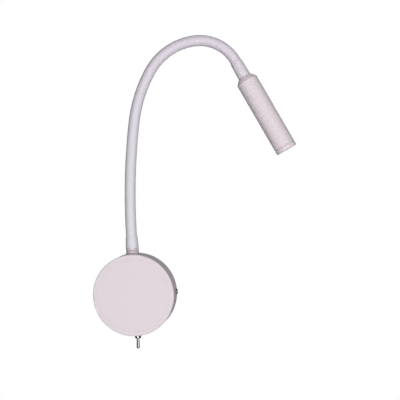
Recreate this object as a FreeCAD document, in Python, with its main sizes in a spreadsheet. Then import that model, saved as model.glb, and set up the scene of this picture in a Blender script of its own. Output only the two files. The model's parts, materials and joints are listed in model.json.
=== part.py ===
import FreeCAD, Part
import math
import os
import types

import Sketcher

"""A bedside wall reading lamp: a round base on the wall, a gooseneck hose and a slim spot head.

Model frame, in millimetres: X to the right, Y into the wall, Z up. The origin is the centre of
the wall plate's back face, on the wall. The hose leaves the top of the base, bends in one plane
parallel to the wall and carries the head, which points down to the right. A toggle switch hangs
from the bottom of the base. Each piece is built in a frame of its own and then placed.
"""

DRIVING_SIZES = (
    # the round base
    ("base_diameter", 80.0, "outside of the round cover"),
    ("base_depth", 25.0, "wall to the cover's front"),
    ("cover_wall", 1.5, "sheet of the cover, sides and front"),
    ("cover_edge_radius", 1.2, "rounding of the cover's front edge"),
    ("ring_inset", 4.4, "front ring groove, in from the cover's edge"),
    ("ring_width", 0.6, "front ring groove, across"),
    ("ring_sink", 0.25, "front ring groove, deep"),
    # the wall plate
    ("plate_thickness", 1.5, "steel of the wall plate"),
    ("plate_gap", 0.3, "wall plate to the inside of the cover"),
    ("slot_spacing", 50.0, "between the two wall screw slots"),
    ("slot_width", 4.5, "wall screw slot, across"),
    ("slot_length", 9.0, "wall screw slot, end to end"),
    ("cable_hole_drop", 8.0, "cable hole below the plate's centre"),
    ("cable_hole_diameter", 9.2, "cable hole in the plate"),
    ("ear_width", 12.0, "side ear of the plate, across"),
    ("ear_reach", 13.0, "side ear, out from the wall"),
    ("ear_gap", 0.4, "side ear's corners to the inside of the cover"),
    ("side_screw_height", 8.0, "side screw above the wall"),
    ("side_screw_diameter", 3.0, "side screw thread"),
    ("side_screw_length", 6.0, "side screw under its head"),
    ("side_screw_head", 5.4, "side screw head, across"),
    ("side_screw_head_height", 1.6, "side screw head, high"),
    ("side_screw_head_round", 0.8, "rounding of the side screw head"),
    ("cross_recess_width", 0.7, "side screw's cross recess, across an arm"),
    ("cross_recess_length", 3.0, "side screw's cross recess, tip to tip"),
    ("cross_recess_sink", 0.9, "side screw's cross recess, deep"),
    # grommet and earth terminal
    ("grommet_bore", 6.0, "cable grommet, inside"),
    ("grommet_flange", 12.0, "cable grommet's flange"),
    ("grommet_flange_thickness", 1.2, "cable grommet's flange"),
    ("stud_right", 20.0, "earth stud, right of centre"),
    ("stud_drop", 17.0, "earth stud, below centre"),
    ("stud_diameter", 4.0, "earth stud"),
    ("stud_height", 9.0, "earth stud, out from the wall"),
    ("stud_washer_diameter", 9.0, "earth washer"),
    ("stud_washer_thickness", 0.8, "earth washer"),
    ("stud_nut_flats", 7.0, "earth nut, across flats"),
    ("stud_nut_height", 3.2, "earth nut"),
    # supply terminal
    ("block_left", 15.5, "terminal block's centre, left of the base's centre"),
    ("block_drop", 18.0, "terminal block's centre, below the base's centre"),
    ("block_width", 15.0, "terminal block, across"),
    ("block_length", 12.0, "terminal block, along its wire holes"),
    ("block_height", 11.0, "terminal block, out from the plate"),
    ("pole_pitch", 7.0, "between the terminal block's two poles"),
    ("pole_bore", 2.6, "terminal block's wire holes"),
    ("pole_height", 5.5, "wire holes above the plate"),
    ("clamp_screw_diameter", 3.0, "terminal screws"),
    ("clamp_screw_pitch", 6.0, "between the two screws of one pole"),
    ("clamp_screw_height", 2.6, "terminal screws"),
    # LED driver
    ("driver_width", 44.0, "driver case, across"),
    ("driver_length", 20.0, "driver case, up the plate"),
    ("driver_height", 15.0, "driver case, out from its pad"),
    ("driver_rise", 16.0, "driver case's centre above the base's centre"),
    ("driver_wall", 1.2, "driver case and lid"),
    ("pad_thickness", 1.0, "foam pad under the driver"),
    ("pad_margin", 2.0, "foam pad, in from the driver case's edge"),
    ("board_thickness", 1.5, "driver's circuit board"),
    ("board_gap", 0.3, "driver's circuit board to the case walls"),
    ("transformer_width", 12.0, "driver's transformer, across"),
    ("transformer_length", 10.0, "driver's transformer, up the plate"),
    ("transformer_height", 9.8, "driver's transformer"),
    ("transformer_drop", 2.0, "driver's transformer, below the case's centre"),
    ("capacitor_diameter", 8.0, "driver's capacitor"),
    ("capacitor_height", 10.0, "driver's capacitor"),
    ("capacitor_right", 15.0, "driver's capacitor, right of the case's centre"),
    # toggle switch
    ("switch_thread", 6.0, "threaded bushing of the switch"),
    ("bushing_length", 9.0, "bushing below its cap plate"),
    ("bushing_bore", 4.1, "bushing, inside"),
    ("bushing_mouth", 5.0, "bushing's countersunk mouth"),
    ("bushing_mouth_depth", 1.0, "bushing's countersunk mouth"),
    ("bushing_chamfer", 0.4, "bushing's outer end"),
    ("bushing_show", 3.7, "bushing that stands out of the cover"),
    ("cap_plate_thickness", 0.6, "metal cap of the switch body"),
    ("switch_width", 8.0, "switch body, left to right"),
    ("switch_length", 13.2, "switch body, wall to front"),
    ("switch_height", 10.0, "switch body, up from its cap"),
    ("lug_width", 2.0, "switch lug, across"),
    ("lug_thickness", 0.8, "switch lug"),
    ("lug_length", 4.0, "switch lug, out of the body"),
    ("lug_pitch", 4.7, "between the switch lugs"),
    ("switch_nut_flats", 8.0, "inner nut of the switch, across flats"),
    ("switch_nut_height", 2.0, "inner nut of the switch"),
    ("switch_washer_diameter", 11.0, "inner washer of the switch"),
    ("switch_washer_thickness", 0.5, "inner washer of the switch"),
    ("pivot_depth", 3.6, "lever pivot, up from the bushing's mouth"),
    ("pivot_ball_gap", 0.1, "lever's ball to the bushing bore"),
    ("lever_reach", 13.8, "lever pivot to its tip"),
    ("lever_neck", 2.5, "bat lever next to its ball"),
    ("lever_tip", 3.1, "bat lever at its round tip"),
    ("lever_tail", 3.2, "lever's tail above the pivot"),
    ("lever_tail_diameter", 1.6, "lever's tail"),
    ("lever_swing_angle", 25.0, "lever swing between its two positions, degrees"),
    # gooseneck: the line of the hose, from the top of the base to the back of the head
    ("root_straight", 18.0, "straight start of the hose"),
    ("arc_one_length", 110.7, "first bend, along the hose"),
    ("arc_one_angle", 10.0, "first bend, degrees"),
    ("arc_one_links", 8, "first bend, rigid lengths"),
    ("arc_two_length", 53.0, "second bend, along the hose"),
    ("arc_two_angle", 22.5, "second bend, degrees"),
    ("arc_two_links", 4, "second bend, rigid lengths"),
    ("arc_three_length", 56.0, "third bend, along the hose"),
    ("arc_three_angle", 56.0, "third bend, degrees"),
    ("arc_three_links", 5, "third bend, rigid lengths"),
    ("arc_four_length", 46.0, "fourth bend, along the hose"),
    ("arc_four_angle", 65.0, "fourth bend, degrees"),
    ("arc_four_links", 4, "fourth bend, rigid lengths"),
    ("head_straight", 18.5, "straight end of the hose"),
    # gooseneck: sleeve, hose and lead
    ("sleeve_diameter", 10.75, "smooth sleeve, outside"),
    ("sleeve_wall", 0.8, "smooth sleeve"),
    ("root_flare", 12.7, "sleeve at the collar, outside"),
    ("root_flare_end", 11.8, "sleeve where the root ferrule's barrel ends, outside"),
    ("head_flare", 12.8, "sleeve at the head, outside"),
    ("head_flare_start", 11.85, "sleeve where the head ferrule begins, outside"),
    ("head_flare_ramp", 2.0, "sleeve's ramp onto the head ferrule"),
    ("sleeve_end_gap", 0.3, "sleeve's ends to the collar and the head"),
    ("ferrule_gap", 0.08, "ferrules to the inside of the sleeve"),
    ("hose_diameter", 7.8, "wound steel hose"),
    ("hose_bore", 3.0, "wound steel hose, inside"),
    ("ball_diameter", 6.0, "ball where two lengths meet"),
    ("ball_neck", 4.0, "neck behind the ball"),
    ("ball_gap", 0.12, "ball to its socket"),
    ("ball_setback", 2.9, "ball centre to the length's shoulder"),
    ("socket_lip", 1.2, "socket's lip beyond the ball centre"),
    ("lip_diameter", 6.8, "socket's lip, outside"),
    ("lip_taper", 1.7, "taper of the socket's lip"),
    ("lead_diameter", 1.6, "two-core lamp lead"),
    # gooseneck: fixings at the base and the head
    ("collar_diameter", 12.6, "neck collar"),
    ("collar_height", 5.2, "neck collar above the base"),
    ("collar_skirt", 1.0, "neck collar's skirt, trimmed to the round base"),
    ("collar_line_height", 3.2, "fine line round the collar"),
    ("collar_line_width", 0.8, "fine line round the collar"),
    ("collar_line_sink", 0.5, "fine line round the collar"),
    ("hose_thread", 9.9, "M10 fine thread of both ferrules"),
    ("root_thread_reach", 8.0, "root ferrule's thread below the base's top"),
    ("root_barrel_end", 16.0, "root ferrule's barrel, above the base's top"),
    ("head_thread_reach", 9.0, "head ferrule's thread inside the head"),
    ("hose_nut_flats", 14.0, "ferrule nuts, across flats"),
    ("hose_nut_height", 3.0, "ferrule nuts"),
    ("hose_washer_diameter", 14.0, "ferrule washers"),
    ("hose_washer_thickness", 0.8, "ferrule washers"),
    # spot head
    ("head_diameter", 21.3, "head"),
    ("head_length", 81.0, "head with its bezel"),
    ("head_wall", 1.35, "head housing"),
    ("head_back_wall", 2.5, "head housing's back"),
    ("head_chamfer_length", 4.0, "back chamfer, along the head"),
    ("head_chamfer_width", 3.2, "back chamfer, inward"),
    ("bezel_length", 3.9, "bezel ring in front of its seam"),
    ("bezel_seam", 0.3, "seam behind the bezel ring"),
    ("bezel_skirt", 5.0, "bezel's threaded skirt behind the seam"),
    ("bezel_opening", 16.8, "bezel's clear opening"),
    ("bezel_chamfer", 0.4, "bezel's front edges"),
    ("lens_recess", 2.0, "lens face behind the bezel's front"),
    ("lens_flange_thickness", 1.5, "lens flange behind the bezel's skirt"),
    ("lens_waist", 6.4, "lens where it faces the LED"),
    ("lens_pocket", 4.4, "pocket in the lens over the LED"),
    ("lens_pocket_depth", 2.6, "pocket in the lens over the LED"),
    ("lens_cone", 4.0, "lens cone, along the head"),
    ("led_board_diameter", 17.0, "LED board"),
    ("led_board_thickness", 1.2, "LED board"),
    ("led_gap", 0.2, "lens to the LED board"),
    ("led_diameter", 3.5, "LED body"),
    ("led_thickness", 0.6, "LED body"),
    ("led_dome", 2.6, "LED dome"),
    ("led_dome_height", 0.8, "LED dome"),
    ("heat_sink_length", 15.0, "heat sink plug"),
    # wiring and fits
    ("wire_diameter", 1.8, "insulated hook-up wire"),
    ("wire_hole_gap", 0.1, "wires to the holes they pass"),
    ("wire_entry", 1.3, "wires inside the driver's wall"),
    ("neutral_entry_left", 16.0, "neutral wire's hole in the driver, left of centre"),
    ("neutral_entry_level", 9.0, "neutral wire's hole in the driver, out from the wall"),
    ("switched_entry_right", 10.0, "switched wire's hole in the driver, right of centre"),
    ("switched_entry_level", 12.0, "switched wire's hole in the driver, out from the wall"),
    ("live_first_run", 6.5, "live wire's first bend, from its clamp"),
    ("live_second_run", 18.3, "live wire's second bend, from its clamp"),
    ("live_second_shift", 0.5, "live wire's second bend, to the right of its pole"),
    ("live_second_lift", 1.5, "live wire's second bend, out from its pole"),
    ("live_third_run", 20.6, "live wire's third bend, above the switch lug"),
    ("live_third_shift", 0.6, "live wire's third bend, to the left of the lug"),
    ("live_third_drop", 0.5, "live wire's third bend, back from the lug"),
    ("live_last_run", 8.8, "live wire's last bend, above the switch lug"),
    ("live_last_shift", 0.4, "live wire's last bend, to the right of the lug"),
    ("neutral_first_run", 8.0, "neutral wire's first bend, from its clamp"),
    ("neutral_last_run", 8.8, "neutral wire's last bend, from its end in the driver"),
    ("switched_first_run", 7.6, "switched wire's first bend, above its lug"),
    ("switched_last_run", 10.4, "switched wire's last bend, from its end in the driver"),
    ("screw_gap", 0.05, "threads and studs to their holes"),
    ("hole_gap", 0.1, "clearance holes, all round"),
    ("slip_gap", 0.05, "sliding fits, all round"),
)

STEP_FOLDER = "parts"
MOST_VOLUME_ERROR = 0.002
THICK_CUT = 20.0


class Size:
    """A number that remembers the formula, over the sheet's cells, that gives it."""

    def __init__(self, value, formula=None):
        self.value = float(value)
        self.formula = formula or repr(float(value))

    def __float__(self):
        return self.value

    def __add__(self, other):
        other = as_size(other)
        return Size(self.value + other.value, f"({self.formula} + {other.formula})")

    def __sub__(self, other):
        other = as_size(other)
        return Size(self.value - other.value, f"({self.formula} - {other.formula})")

    def __mul__(self, other):
        other = as_size(other)
        return Size(self.value * other.value, f"({self.formula} * {other.formula})")

    def __truediv__(self, other):
        other = as_size(other)
        return Size(self.value / other.value, f"({self.formula} / {other.formula})")

    def __radd__(self, other):
        return as_size(other) + self

    def __rsub__(self, other):
        return as_size(other) - self

    def __rmul__(self, other):
        return as_size(other) * self

    def __neg__(self):
        return Size(-self.value, f"(-1 * {self.formula})")


def as_size(number):
    return number if isinstance(number, Size) else Size(number)


def square_root(size):
    return Size(math.sqrt(size.value), f"sqrt({size.formula})")


def chord_length(length, turn, links):
    """Straight length of one of the equal links that share a bend."""
    half_turn = math.radians(turn.value) / (2 * links.value)
    value = length.value / links.value * math.sin(half_turn) / half_turn
    half = f"({turn.formula} / 2 / {links.formula})"
    formula = f"({length.formula} / {links.formula} * sin({half}) / ({half} * pi / 180))"
    return Size(value, formula)


# ---------------------------------------------------------------------------------------------
# the document and its sheet of driving sizes

doc = FreeCAD.newDocument("wall_reading_lamp")
sheet = doc.addObject("Spreadsheet::Sheet", "Dims")
for row, (alias, number, meaning) in enumerate(DRIVING_SIZES, start=1):
    sheet.set(f"A{row}", meaning)
    sheet.set(f"B{row}", str(number))
    sheet.setAlias(f"B{row}", alias)
doc.recompute()

d = types.SimpleNamespace(
    **{alias: Size(sheet.get(alias), f"Dims.{alias}") for alias, number, meaning in DRIVING_SIZES}
)
ZERO = Size(0)
own_places = {}
sub_parts = {}


# ---------------------------------------------------------------------------------------------
# small helpers for the document's objects

TURN_TO = {
    "z": FreeCAD.Rotation(),
    "-z": FreeCAD.Rotation(FreeCAD.Vector(1, 0, 0), 180),
    "y": FreeCAD.Rotation(FreeCAD.Vector(1, 0, 0), -90),
    "-y": FreeCAD.Rotation(FreeCAD.Vector(1, 0, 0), 90),
    "x": FreeCAD.Rotation(FreeCAD.Vector(0, 1, 0), 90),
    "-x": FreeCAD.Rotation(FreeCAD.Vector(0, 1, 0), -90),
}


def bind(thing, **sizes):
    """Ties an object's properties to the sheet."""
    for name, size in sizes.items():
        thing.setExpression(name, as_size(size).formula)
    return thing


def bind_place(thing, place):
    """Ties the place of an object to the sheet, as far as the sheet sets it."""
    for axis, coordinate in zip("xyz", place):
        bound = "Dims" in coordinate.formula
        thing.setExpression(f"Placement.Base.{axis}", coordinate.formula if bound else None)


def put(thing, at=(0, 0, 0), along="z"):
    """Places an object inside its own piece, or inside the frame that the piece is built in."""
    place = [as_size(coordinate) for coordinate in at]
    thing.Placement = FreeCAD.Placement(FreeCAD.Vector(*map(float, place)), TURN_TO[along])
    bind_place(thing, place)
    own_places[thing.Name] = place
    return thing


def cylinder(name, radius, height, at=(0, 0, 0), along="z"):
    solid = bind(doc.addObject("Part::Cylinder", name), Radius=radius, Height=height)
    return put(solid, at, along)


def cone(name, radius, end_radius, height, at=(0, 0, 0), along="z"):
    solid = doc.addObject("Part::Cone", name)
    bind(solid, Radius1=radius, Radius2=end_radius, Height=height)
    return put(solid, at, along)


def ball(name, radius, at=(0, 0, 0)):
    return put(bind(doc.addObject("Part::Sphere", name), Radius=radius), at)


def block(name, width, length, height, centre=(0, 0), base=ZERO):
    """A box about a centre line along Z, from the height given as its base."""
    solid = bind(doc.addObject("Part::Box", name), Length=width, Width=length, Height=height)
    return put(solid, (centre[0] - width / 2, centre[1] - length / 2, base))


def hexagon(name, flats, height, at=(0, 0, 0)):
    solid = doc.addObject("Part::Prism", name)
    solid.Polygon = 6
    bind(solid, Circumradius=flats / square_root(Size(3)), Height=height)
    return put(solid, at)


def join(name, *pieces):
    whole = doc.addObject("Part::MultiFuse", name)
    whole.Shapes = list(pieces)
    return whole


def group(name, *pieces):
    """Separate solids that share one node."""
    whole = doc.addObject("Part::Compound", name)
    whole.Links = list(pieces)
    return whole


def cut(name, base, *tools):
    result = doc.addObject("Part::Cut", name)
    result.Base = base
    result.Tool = tools[0] if len(tools) == 1 else join(name + "_tools", *tools)
    return result


def outline_sketch(body, name, outline):
    """A closed outline of straight lines in a body's XZ plane, each corner tied to the sheet."""
    sketch = body.newObject("Sketcher::SketchObject", name)
    plane = next(f for f in body.Origin.OriginFeatures if f.Role == "XZ_Plane")
    sketch.AttachmentSupport = [(plane, "")]
    sketch.MapMode = "FlatFace"
    corners = [FreeCAD.Vector(float(across), float(up), 0) for across, up in outline]
    count = len(corners)
    for i in range(count):
        sketch.addGeometry(Part.LineSegment(corners[i], corners[(i + 1) % count]), False)
    for i in range(count):
        sketch.addConstraint(Sketcher.Constraint("Coincident", i, 2, (i + 1) % count, 1))
    for i, (across, up) in enumerate(outline):
        for kind, axis, size in (("DistanceX", -2, across), ("DistanceY", -1, up)):
            size = as_size(size)
            if size.value == 0:
                sketch.addConstraint(Sketcher.Constraint("PointOnObject", i, 1, axis))
                continue
            number = sketch.addConstraint(Sketcher.Constraint(kind, -1, 1, i, 1, size.value))
            if "Dims" in size.formula:
                sketch.setExpression(f"Constraints[{number}]", size.formula)
    return sketch


def turned(name, outline):
    """A turned piece: an outline of (radius, height) corners, spun round Z."""
    body = doc.addObject("PartDesign::Body", name)
    sketch = outline_sketch(body, name + "_outline", outline)
    spin = body.newObject("PartDesign::Revolution", name + "_turn")
    spin.Profile = sketch
    spin.ReferenceAxis = (sketch, ["V_Axis"])
    spin.Angle = 360
    body.Tip = spin
    return body


def rounded_rim(body, name, radius_of_rim, height, rounding):
    """Rounds the circular edge of a turned body that has this radius and height."""
    doc.recompute()
    feature = body.Tip
    edges = [
        f"Edge{i}"
        for i, edge in enumerate(feature.Shape.Edges, start=1)
        if isinstance(edge.Curve, Part.Circle)
        and abs(edge.Curve.Radius - float(radius_of_rim)) < 1e-6
        and abs(edge.Curve.Center.z - float(height)) < 1e-6
    ]
    fillet = body.newObject("PartDesign::Fillet", name)
    fillet.Base = (feature, edges)
    bind(fillet, Radius=rounding)
    body.Tip = fillet
    return body


def shaped(name, shape):
    """A piece whose shape no plain feature gives, such as a tube along a bent line."""
    feature = doc.addObject("Part::Feature", name)
    feature.Shape = shape
    return feature


def keep(label, thing, frame):
    """Names a finished piece and takes it from its frame to its place in the lamp."""
    thing.Label = label
    thing.Placement = frame.placement.multiply(thing.Placement)
    bind_place(thing, frame.carry(own_places.get(thing.Name, (ZERO, ZERO, ZERO))))
    sub_parts[label] = thing
    return thing


# ---------------------------------------------------------------------------------------------
# frames: where the pieces' own frames stand in the lamp

class SquareFrame:
    """A frame whose axes lie along the lamp's own, with its origin tied to the sheet."""

    def __init__(self, origin, along):
        self.origin = [as_size(coordinate) for coordinate in origin]
        self.placement = FreeCAD.Placement(FreeCAD.Vector(*map(float, origin)), TURN_TO[along])

    def carry(self, place):
        """A place in this frame, given as sizes, taken to the lamp's frame."""
        carried = list(self.origin)
        for i, unit in enumerate(((1, 0, 0), (0, 1, 0), (0, 0, 1))):
            turned_unit = self.placement.Rotation.multVec(FreeCAD.Vector(*unit))
            for j in range(3):
                if round(turned_unit[j]):
                    carried[j] = carried[j] + round(turned_unit[j]) * place[i]
        return carried


class HoseFrame:
    """A frame on the hose's bent line, worked out from the sheet's sizes when this runs."""

    def __init__(self, placement):
        self.placement = placement

    def carry(self, place):
        return [as_size(c) for c in self.placement.multVec(FreeCAD.Vector(*map(float, place)))]


base_radius = d.base_diameter / 2
inner_radius = base_radius - d.cover_wall
hose_line = -1 * d.base_depth / 2

# the lamp's own
LAMP = SquareFrame((0, 0, 0), "z")
# x right, y up, z out from the wall
BASE = SquareFrame((0, 0, 0), "-y")
# z up, from the outside of the cover's top
ROOT = SquareFrame((0, hose_line, base_radius), "z")
# z down, from the inside of the cover's bottom; y towards the front
SWITCH = SquareFrame((0, hose_line, -inner_radius), "-z")

HOSE_ARCS = (
    (d.arc_one_length, d.arc_one_angle, d.arc_one_links),
    (d.arc_two_length, d.arc_two_angle, d.arc_two_links),
    (d.arc_three_length, d.arc_three_angle, d.arc_three_links),
    (d.arc_four_length, d.arc_four_angle, d.arc_four_links),
)
HOSE_RUNS = (
    [(d.root_straight.value, 0.0)]
    + [(length.value, turn.value) for length, turn, links in HOSE_ARCS]
    + [(d.head_straight.value, 0.0)]
)
HOSE_LENGTH = sum(length for length, turn in HOSE_RUNS)


def leaning(heading):
    return FreeCAD.Rotation(FreeCAD.Vector(0, 1, 0), heading)


def along_run(frame, length, turn):
    """The frame at the far end of a straight or evenly bent run that starts in a frame."""
    if turn == 0:
        return frame.multiply(FreeCAD.Placement(FreeCAD.Vector(0, 0, length), leaning(0)))
    radius = length / math.radians(turn)
    sideways = radius * (1 - math.cos(math.radians(turn)))
    ahead = radius * math.sin(math.radians(turn))
    return frame.multiply(FreeCAD.Placement(FreeCAD.Vector(sideways, 0, ahead), leaning(turn)))


def hose_frame(station):
    """The frame on the hose's line at a distance from the top of the base: z runs along it."""
    frame = ROOT.placement
    for length, turn in HOSE_RUNS[:-1]:
        if station <= length:
            return along_run(frame, station, turn * station / length)
        frame = along_run(frame, length, turn)
        station -= length
    return along_run(frame, station, 0)


HEAD = HoseFrame(hose_frame(HOSE_LENGTH))


def hose_stations():
    """Where along the hose two lengths meet: each bend is shared out among its own links."""
    stations = [d.root_straight.value]
    for length, turn, links in HOSE_ARCS:
        step = length.value / links.value
        stations += [stations[-1] + step * (i + 1) for i in range(int(links.value))]
    return stations


def drop_inside_cover(half_width):
    """How far the cover's round inside falls away from its crown at this half width."""
    return inner_radius - square_root(inner_radius * inner_radius - half_width * half_width)


# ---------------------------------------------------------------------------------------------
# base

def base_cover():
    shell = turned(
        "base_shell",
        [
            (inner_radius, ZERO),
            (base_radius, ZERO),
            (base_radius, d.base_depth),
            (ZERO, d.base_depth),
            (ZERO, d.base_depth - d.cover_wall),
            (inner_radius, d.base_depth - d.cover_wall),
        ],
    )
    rounded_rim(shell, "base_shell_rim", base_radius, d.base_depth, d.cover_edge_radius)
    ring_outside = base_radius - d.ring_inset
    ring = turned(
        "base_ring",
        [
            (ring_outside - d.ring_width, d.base_depth - d.ring_sink),
            (ring_outside, d.base_depth - d.ring_sink),
            (ring_outside, d.base_depth + d.ring_sink),
            (ring_outside - d.ring_width, d.base_depth + d.ring_sink),
        ],
    )
    middle = d.base_depth / 2
    start = inner_radius - THICK_CUT / 2
    hose_hole = cylinder(
        "base_hose_hole", d.hose_thread / 2 + d.hole_gap, THICK_CUT, (0, start, middle), "y"
    )
    switch_hole = cylinder(
        "base_switch_hole",
        d.switch_thread / 2 + d.hole_gap,
        THICK_CUT,
        (0, -start - THICK_CUT, middle),
        "y",
    )
    screw_holes = [
        cylinder(
            "base_screw_hole",
            d.side_screw_diameter / 2 + d.hole_gap,
            THICK_CUT,
            (side * start, 0, d.side_screw_height),
            along,
        )
        for side, along in ((1, "x"), (-1, "-x"))
    ]
    cover = cut("base_cover", shell, ring, hose_hole, switch_hole, *screw_holes)
    keep("base_cover", cover, BASE)


def slot_cutter(side):
    """The tool for one slotted wall screw hole, its length along X."""
    name = "right_slot" if side > 0 else "left_slot"
    centre = side * d.slot_spacing / 2
    run = d.slot_length - d.slot_width
    middle = block(name + "_middle", run, d.slot_width, THICK_CUT, (centre, ZERO), -THICK_CUT / 2)
    ends = [
        cylinder(name + "_end", d.slot_width / 2, THICK_CUT, (centre + end * run / 2, 0, -THICK_CUT / 2))
        for end in (-1, 1)
    ]
    return join(name, middle, *ends)


def ear_outside():
    half = d.ear_width / 2
    limit = inner_radius - d.ear_gap
    return square_root(limit * limit - half * half)


def wall_plate():
    disc = cylinder("plate_disc", inner_radius - d.plate_gap, d.plate_thickness)
    ears = []
    ear_holes = []
    for side, along in ((1, "x"), (-1, "-x")):
        centre = side * (ear_outside() - d.plate_thickness / 2)
        ears.append(block("plate_ear", d.plate_thickness, d.ear_width, d.ear_reach, (centre, ZERO)))
        hole_start = side * (ear_outside() - THICK_CUT / 2)
        ear_holes.append(
            cylinder(
                "plate_ear_hole",
                d.side_screw_diameter / 2 + d.screw_gap,
                THICK_CUT,
                (hole_start, 0, d.side_screw_height),
                along,
            )
        )
    cable_hole = cylinder(
        "plate_cable_hole", d.cable_hole_diameter / 2, THICK_CUT, (0, -d.cable_hole_drop, -THICK_CUT / 2)
    )
    stud_hole = cylinder(
        "plate_stud_hole",
        d.stud_diameter / 2 + d.screw_gap,
        THICK_CUT,
        (d.stud_right, -d.stud_drop, -THICK_CUT / 2),
    )
    plate = cut(
        "wall_plate",
        join("plate_blank", disc, *ears),
        slot_cutter(1),
        slot_cutter(-1),
        cable_hole,
        stud_hole,
        *ear_holes,
    )
    keep("wall_plate", plate, BASE)


def side_screw(side, along):
    """A pan-head screw through the cover's side into the plate's ear, pointing inward."""
    seat = side * (base_radius + d.slip_gap)
    inward = "-x" if along == "x" else "x"
    shank = cylinder(
        "side_screw_shank",
        d.side_screw_diameter / 2,
        d.side_screw_length,
        (seat, 0, d.side_screw_height),
        inward,
    )
    pan = turned(
        "side_screw_pan",
        [
            (ZERO, ZERO),
            (d.side_screw_head / 2, ZERO),
            (d.side_screw_head / 2, d.side_screw_head_height),
            (ZERO, d.side_screw_head_height),
        ],
    )
    rounded_rim(
        pan,
        "side_screw_pan_rim",
        d.side_screw_head / 2,
        d.side_screw_head_height,
        d.side_screw_head_round,
    )
    put(pan, (seat, 0, d.side_screw_height), along)
    bottom = base_radius + d.slip_gap + d.side_screw_head_height - d.cross_recess_sink
    arms = []
    for width, height in (
        (d.cross_recess_width, d.cross_recess_length),
        (d.cross_recess_length, d.cross_recess_width),
    ):
        centre = (side * (bottom + THICK_CUT / 2), ZERO)
        base = d.side_screw_height - height / 2
        arms.append(block("side_screw_cross", THICK_CUT, width, height, centre, base))
    return cut("side_screw", join("side_screw_blank", shank, pan), *arms)


def side_screws():
    pair = group("side_screws", side_screw(1, "x"), side_screw(-1, "-x"))
    keep("side_screws", pair, BASE)


def cable_grommet():
    barrel = d.cable_hole_diameter / 2 - d.hole_gap
    flange_top = d.plate_thickness + d.grommet_flange_thickness
    grommet = turned(
        "cable_grommet",
        [
            (d.grommet_bore / 2, d.hole_gap),
            (barrel, d.hole_gap),
            (barrel, d.plate_thickness),
            (d.grommet_flange / 2, d.plate_thickness),
            (d.grommet_flange / 2, flange_top),
            (d.grommet_bore / 2, flange_top),
        ],
    )
    put(grommet, (0, -d.cable_hole_drop, 0))
    keep("cable_grommet", grommet, BASE)


def washer(label, outside, inside, thickness, at, frame):
    ring = turned(
        label,
        [
            (inside / 2, ZERO),
            (outside / 2, ZERO),
            (outside / 2, thickness),
            (inside / 2, thickness),
        ],
    )
    put(ring, at)
    keep(label, ring, frame)


def nut(label, flats, thread, height, at, frame):
    blank = hexagon(label + "_blank", flats, height)
    bore = cylinder(label + "_bore", thread / 2 + d.screw_gap, height)
    ring = put(cut(label, blank, bore), at)
    keep(label, ring, frame)


def earth_terminal():
    foot = (d.stud_right, -d.stud_drop)
    stud = cylinder("earth_stud", d.stud_diameter / 2, d.stud_height, (*foot, ZERO))
    keep("earth_stud", stud, BASE)
    washer(
        "earth_washer",
        d.stud_washer_diameter,
        d.stud_diameter + 2 * d.hole_gap,
        d.stud_washer_thickness,
        (*foot, d.plate_thickness),
        BASE,
    )
    nut(
        "earth_nut",
        d.stud_nut_flats,
        d.stud_diameter,
        d.stud_nut_height,
        (*foot, d.plate_thickness + d.stud_washer_thickness),
        BASE,
    )


def pole_places():
    """The two poles' places across the block: the neutral on the left, the live on the right."""
    return {
        "neutral": -d.block_left - d.pole_pitch / 2,
        "live": -d.block_left + d.pole_pitch / 2,
    }


def supply_terminal():
    bore_height = d.plate_thickness + d.pole_height
    blank = block(
        "block_blank",
        d.block_width,
        d.block_length,
        d.block_height,
        (-d.block_left, -d.block_drop),
        d.plate_thickness,
    )
    bottom_edge = -d.block_drop - d.block_length / 2
    wire_holes = []
    wells = []
    screws = []
    screw_bottom = bore_height + d.wire_diameter / 2 + d.wire_hole_gap
    slot_bottom = screw_bottom + d.clamp_screw_height - d.cross_recess_sink
    for across in pole_places().values():
        mouth = (across, bottom_edge, bore_height)
        wire_holes.append(cylinder("block_wire_hole", d.pole_bore / 2, d.block_length, mouth, "y"))
        for end in (-1, 1):
            screw_place = (across, -d.block_drop + end * d.clamp_screw_pitch / 2)
            radius = d.clamp_screw_diameter / 2
            floor = (*screw_place, bore_height)
            wells.append(cylinder("block_well", radius + d.hole_gap, THICK_CUT, floor))
            seat = (*screw_place, screw_bottom)
            screw = cylinder("clamp_screw", radius, d.clamp_screw_height, seat)
            slot = block(
                "clamp_screw_slot",
                d.clamp_screw_diameter,
                d.cross_recess_width,
                THICK_CUT,
                screw_place,
                slot_bottom,
            )
            screws.append(cut("slotted_screw", screw, slot))
    keep("terminal_block", cut("terminal_block", blank, *wire_holes, *wells), BASE)
    keep("terminal_screws", group("terminal_screws", *screws), BASE)


# ---------------------------------------------------------------------------------------------
# LED driver

driver_floor = d.plate_thickness + d.pad_thickness
driver_bottom_edge = d.driver_rise - d.driver_length / 2
driver_top_edge = d.driver_rise + d.driver_length / 2
NEUTRAL_ENTRY = (-d.neutral_entry_left, d.neutral_entry_level)
SWITCHED_ENTRY = (d.switched_entry_right, d.switched_entry_level)


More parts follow.
